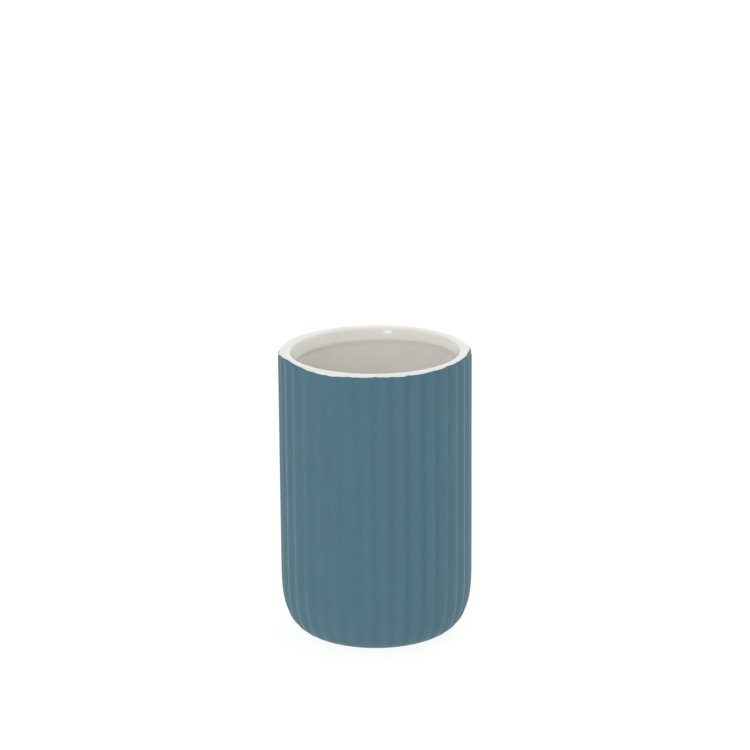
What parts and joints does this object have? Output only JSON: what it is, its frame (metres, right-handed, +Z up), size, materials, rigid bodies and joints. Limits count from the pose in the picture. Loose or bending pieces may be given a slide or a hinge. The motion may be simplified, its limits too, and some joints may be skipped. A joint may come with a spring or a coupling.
{
  "type": "toothbrush holder",
  "caption": "Upright ceramic tumbler for toothbrushes: matte grey-blue outside with soft upright ribs, white glazed rim and inside, rounded foot.",
  "frame": {"origin": "centre of the surface that the cup stands on", "axes": "+Z up the cup's axis, out of its mouth; -Y is the side that faces the viewer in the picture"},
  "size_m": [0.072, 0.072, 0.1099],
  "materials": {
    "bare_ceramic": "unglazed, matte",
    "gloss_glaze": "gloss",
    "matte_coat": "matte",
    "soft_pad": "matte"
  },
  "bodies": {
    "root": {"ceramic_body": "bare_ceramic", "white_glaze": "gloss_glaze", "blue_coat": "matte_coat", "non_slip_pad": "soft_pad"}
  },
  "joints": []
}
